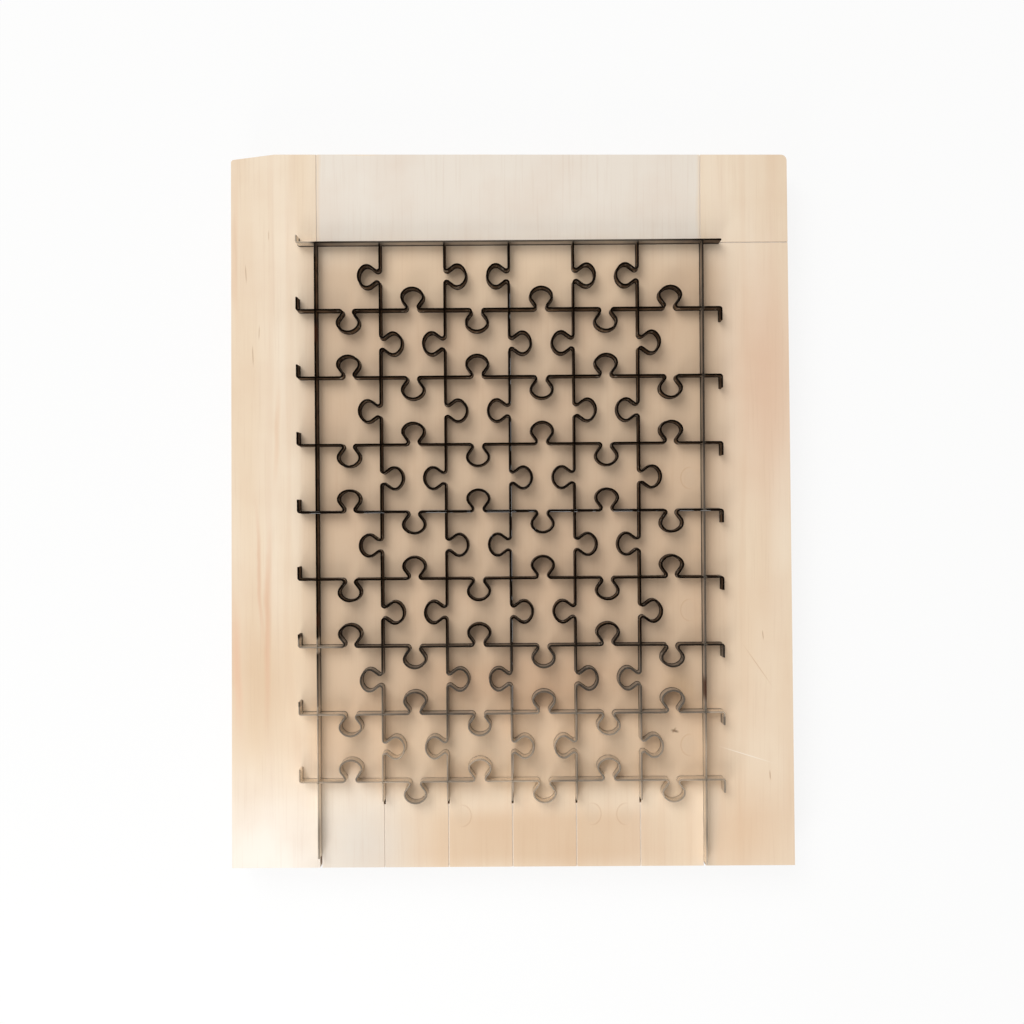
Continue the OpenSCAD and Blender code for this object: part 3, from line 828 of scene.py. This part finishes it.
class DIE_OT_frame_rules(bpy.types.Operator):
    """Sweep the straight rules along the top and down both sides"""

    bl_idname = "die.frame_rules"
    bl_label = "Frame rules"

    def execute(self, context):
        pattern, rules = context.scene.die_pattern, context.scene.die_rules
        steel, wood = rule_steel(rules), plywood(context.scene.die_board)
        across = pattern.columns * pattern.piece_w
        tab, bend = rules.top_tab - rules.tab_r, rules.tab_r * math.pi / 2
        steps = [
            (tab, 0.0),
            (bend, 1 / rules.tab_r),
            (across + 2 * rules.overhang - rules.tab_r, 0.0),
        ]
        lead = tab + bend + rules.overhang - rules.tab_r
        bridges = [lead + (i + 0.5) * pattern.piece_w for i in range(pattern.columns)]
        gaps = notches(bridges, rules)
        start = (LEFT_X - rules.overhang, TOP_Y + rules.top_tab)
        path = carry(start, -math.pi / 2, steps, edges(gaps))
        strip("top_rule", "top_frame_rule", path, gaps, rules, steel)
        burnt_lips("top", path, [], rules, wood)
        butt = rules.thick / 2 + rules.butt_gap
        for side, x, low in (("left", LEFT_X, LEFT_LOW), ("right", RIGHT_X, RIGHT_LOW)):
            run = TOP_Y - butt - low.y
            foot = (low.y - rules.end_inset + LAST_Y) / 2
            crossings = [j * pattern.piece_h - butt for j in range(1, pattern.rows + 1)]
            bridges = [(j + 0.5) * pattern.piece_h - butt for j in range(pattern.rows)]
            bridges.append(TOP_Y - butt - foot)
            gaps = laps(crossings, rules, rules.high / 2, rules.high)
            gaps += notches(bridges, rules)
            path = carry((x, TOP_Y - butt), -math.pi / 2, [(run, 0.0)], edges(gaps))
            strip(side + "_rule", side + "_frame_rule", path, gaps, rules, steel)
            burnt_lips(side, path, crossings, rules, wood)
        return {"FINISHED"}


class DIE_OT_cross_rules(bpy.types.Operator):
    """Sweep the knobbed rules that cross the pattern"""

    bl_idname = "die.cross_rules"
    bl_label = "Cross rules"

    def execute(self, context):
        pattern, rules = context.scene.die_pattern, context.scene.die_rules
        steel, wood = rule_steel(rules), plywood(context.scene.die_board)
        tab, bend = rules.tab - rules.tab_r, rules.tab_r * math.pi / 2
        reach = rules.overhang - rules.tab_r
        lead = tab + bend + reach
        for j in range(1, pattern.rows + 1):
            steps = [(tab, 0.0), (bend, 1 / rules.tab_r), (reach, 0.0)]
            for i in range(1, pattern.columns + 1):
                cell = knob_steps(pattern.piece_w, knob_side(i, j), pattern)
                steps += cell
            steps += [(reach, 0.0), (bend, -1 / rules.tab_r), (tab, 0.0)]
            cell_l = sum(step[0] for step in cell)
            crossings = [lead + i * cell_l for i in range(pattern.columns + 1)]
            bridges = [s + cell[0][0] / 2 for s in crossings[:-1]]
            gaps = laps(crossings, rules, 0, rules.high / 2 + rules.lap_gap)
            gaps += notches(bridges, rules)
            y = TOP_Y - j * pattern.piece_h
            start = (LEFT_X - rules.overhang, y + rules.tab)
            path = carry(start, -math.pi / 2, steps, edges(gaps))
            strip(f"knobbed_cross_{j}", f"cross_rule_{j}", path, gaps, rules, steel)
            burnt_lips(f"cross_{j}", path, crossings, rules, wood)
        return {"FINISHED"}


class DIE_OT_column_rules(bpy.types.Operator):
    """Sweep the knobbed rules that run down the pattern"""

    bl_idname = "die.column_rules"
    bl_label = "Column rules"

    def execute(self, context):
        pattern, rules = context.scene.die_pattern, context.scene.die_rules
        steel, wood = rule_steel(rules), plywood(context.scene.die_board)
        butt = rules.thick / 2 + rules.butt_gap
        for i in range(1, pattern.columns):
            steps = []
            for j in range(1, pattern.rows + 1):
                cut_short = butt if j == 1 else 0.0
                cell = knob_steps(pattern.piece_h, knob_side(i, j), pattern, cut_short)
                steps += cell
            steps.append((rules.tail, 0.0))
            cell_l = sum(step[0] for step in cell)
            crossings = [j * cell_l - butt for j in range(1, pattern.rows + 1)]
            bridges = [j * cell_l - butt + cell[0][0] / 2 for j in range(pattern.rows)]
            gaps = laps(crossings, rules, rules.high / 2, rules.high)
            gaps += notches(bridges, rules)
            start = (LEFT_X + i * pattern.piece_w, TOP_Y - butt)
            path = carry(start, -math.pi / 2, steps, edges(gaps))
            strip(f"knobbed_column_{i}", f"column_rule_{i}", path, gaps, rules, steel)
            burnt_lips(f"column_{i}", path, crossings, rules, wood)
        return {"FINISHED"}


class DIE_OT_board(bpy.types.Operator):
    """Give the board its plywood finish"""

    bl_idname = "die.board"
    bl_label = "Board finish"

    def execute(self, context):
        wood = plywood(context.scene.die_board)
        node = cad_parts["die_board"]
        if not node.material_slots:
            node.data.materials.append(wood)
        for slot in node.material_slots:
            slot.material = wood
        return {"FINISHED"}


class DIE_OT_stage(bpy.types.Operator):
    """Set up the camera, the light and the floor"""

    bl_idname = "die.stage"
    bl_label = "Stage"

    def execute(self, context):
        scene, stage = context.scene, context.scene.die_stage
        scene.view_settings.view_transform = "Standard"
        lens = bpy.data.cameras.new("Camera")
        lens.lens, lens.sensor_width = stage.lens, SENSOR_W
        camera = bpy.data.objects.new("Camera", lens)
        camera.location = (stage.camera_x, stage.camera_y, stage.camera_high)
        camera.rotation_euler = (0, 0, stage.camera_turn)
        scene.collection.objects.link(camera)
        scene.camera = camera
        for name, power, size, place in (
            ("Soft key", stage.key_power, KEY_SIZE, KEY_PLACE),
            ("Near fill", stage.fill_power, FILL_SIZE, FILL_PLACE),
        ):
            light = bpy.data.lights.new(name, "AREA")
            light.energy, light.size = power, size
            lamp = bpy.data.objects.new(name, light)
            lamp.location = place
            lamp.rotation_euler = (-Vector(place)).to_track_quat("-Z", "Y").to_euler()
            lamp.visible_camera = False
            scene.collection.objects.link(lamp)
        ways = ((-1, -1), (1, -1), (1, 1), (-1, 1))
        corners = [(x * FLOOR_HALF, y * FLOOR_HALF, FLOOR_Z) for x, y in ways]
        mesh = bpy.data.meshes.new("Floor")
        mesh.from_pydata(corners, [], [(0, 1, 2, 3)])
        mesh.materials.append(white_paper(stage))
        floor = bpy.data.objects.new("Floor", mesh)
        scene.collection.objects.link(floor)
        world = bpy.data.worlds.new("Even light")
        world.use_nodes = True
        tree = world.node_tree
        tree.nodes.clear()
        # The even light is strongest from straight above
        way = add(tree, "ShaderNodeTexCoord").node.outputs["Generated"]
        high = add(tree, "ShaderNodeSeparateXYZ", {0: way}).node.outputs["Z"]
        horizon, zenith = (stage.sky * share for share in SKY_SHARES)
        level = add(tree, "ShaderNodeMapRange", {0: high, 3: horizon, 4: zenith})
        even = add(tree, "ShaderNodeBackground", {"Color": (1, 1, 1, 1), "Strength": level})
        white = add(
            tree, "ShaderNodeBackground", {"Color": (1, 1, 1, 1), "Strength": WORLD_WHITE}
        )
        mixed = add(tree, "ShaderNodeMixShader", {0: seen(tree), 1: even, 2: white})
        add(tree, "ShaderNodeOutputWorld", {"Surface": mixed})
        scene.world = world
        return {"FINISHED"}


class DIE_PT_sidebar(bpy.types.Panel):
    """Lists the steps that build the die"""

    bl_label = "Steel rule die"
    bl_idname = "DIE_PT_sidebar"
    bl_space_type = "VIEW_3D"
    bl_region_type = "UI"
    bl_category = "Die"

    def draw(self, context):
        for operator in OPERATORS:
            self.layout.operator(operator.bl_idname)
        for name in GROUPS:
            group = getattr(context.scene, name)
            box = self.layout.box()
            for key in group.__annotations__:
                box.prop(group, key)


OPERATORS = (
    DIE_OT_stage,
    DIE_OT_board,
    DIE_OT_frame_rules,
    DIE_OT_cross_rules,
    DIE_OT_column_rules,
)
GROUPS = {
    "die_pattern": DiePattern,
    "die_rules": DieRules,
    "die_board": DieBoard,
    "die_stage": DieStage,
}


def register():
    """Registers the sizes, the steps and the panel."""
    for name, group in GROUPS.items():
        bpy.utils.register_class(group)
        setattr(bpy.types.Scene, name, bpy.props.PointerProperty(type=group))
    for made in (*OPERATORS, DIE_PT_sidebar):
        bpy.utils.register_class(made)


def unregister():
    """Takes them off again."""
    for made in (DIE_PT_sidebar, *reversed(OPERATORS)):
        bpy.utils.unregister_class(made)
    for name, group in GROUPS.items():
        delattr(bpy.types.Scene, name)
        bpy.utils.unregister_class(group)


def main():
    """Builds the die on its stage."""
    register()
    bpy.ops.die.stage()
    bpy.ops.die.board()
    bpy.ops.die.frame_rules()
    bpy.ops.die.cross_rules()
    bpy.ops.die.column_rules()


if __name__ == "__main__":
    main()
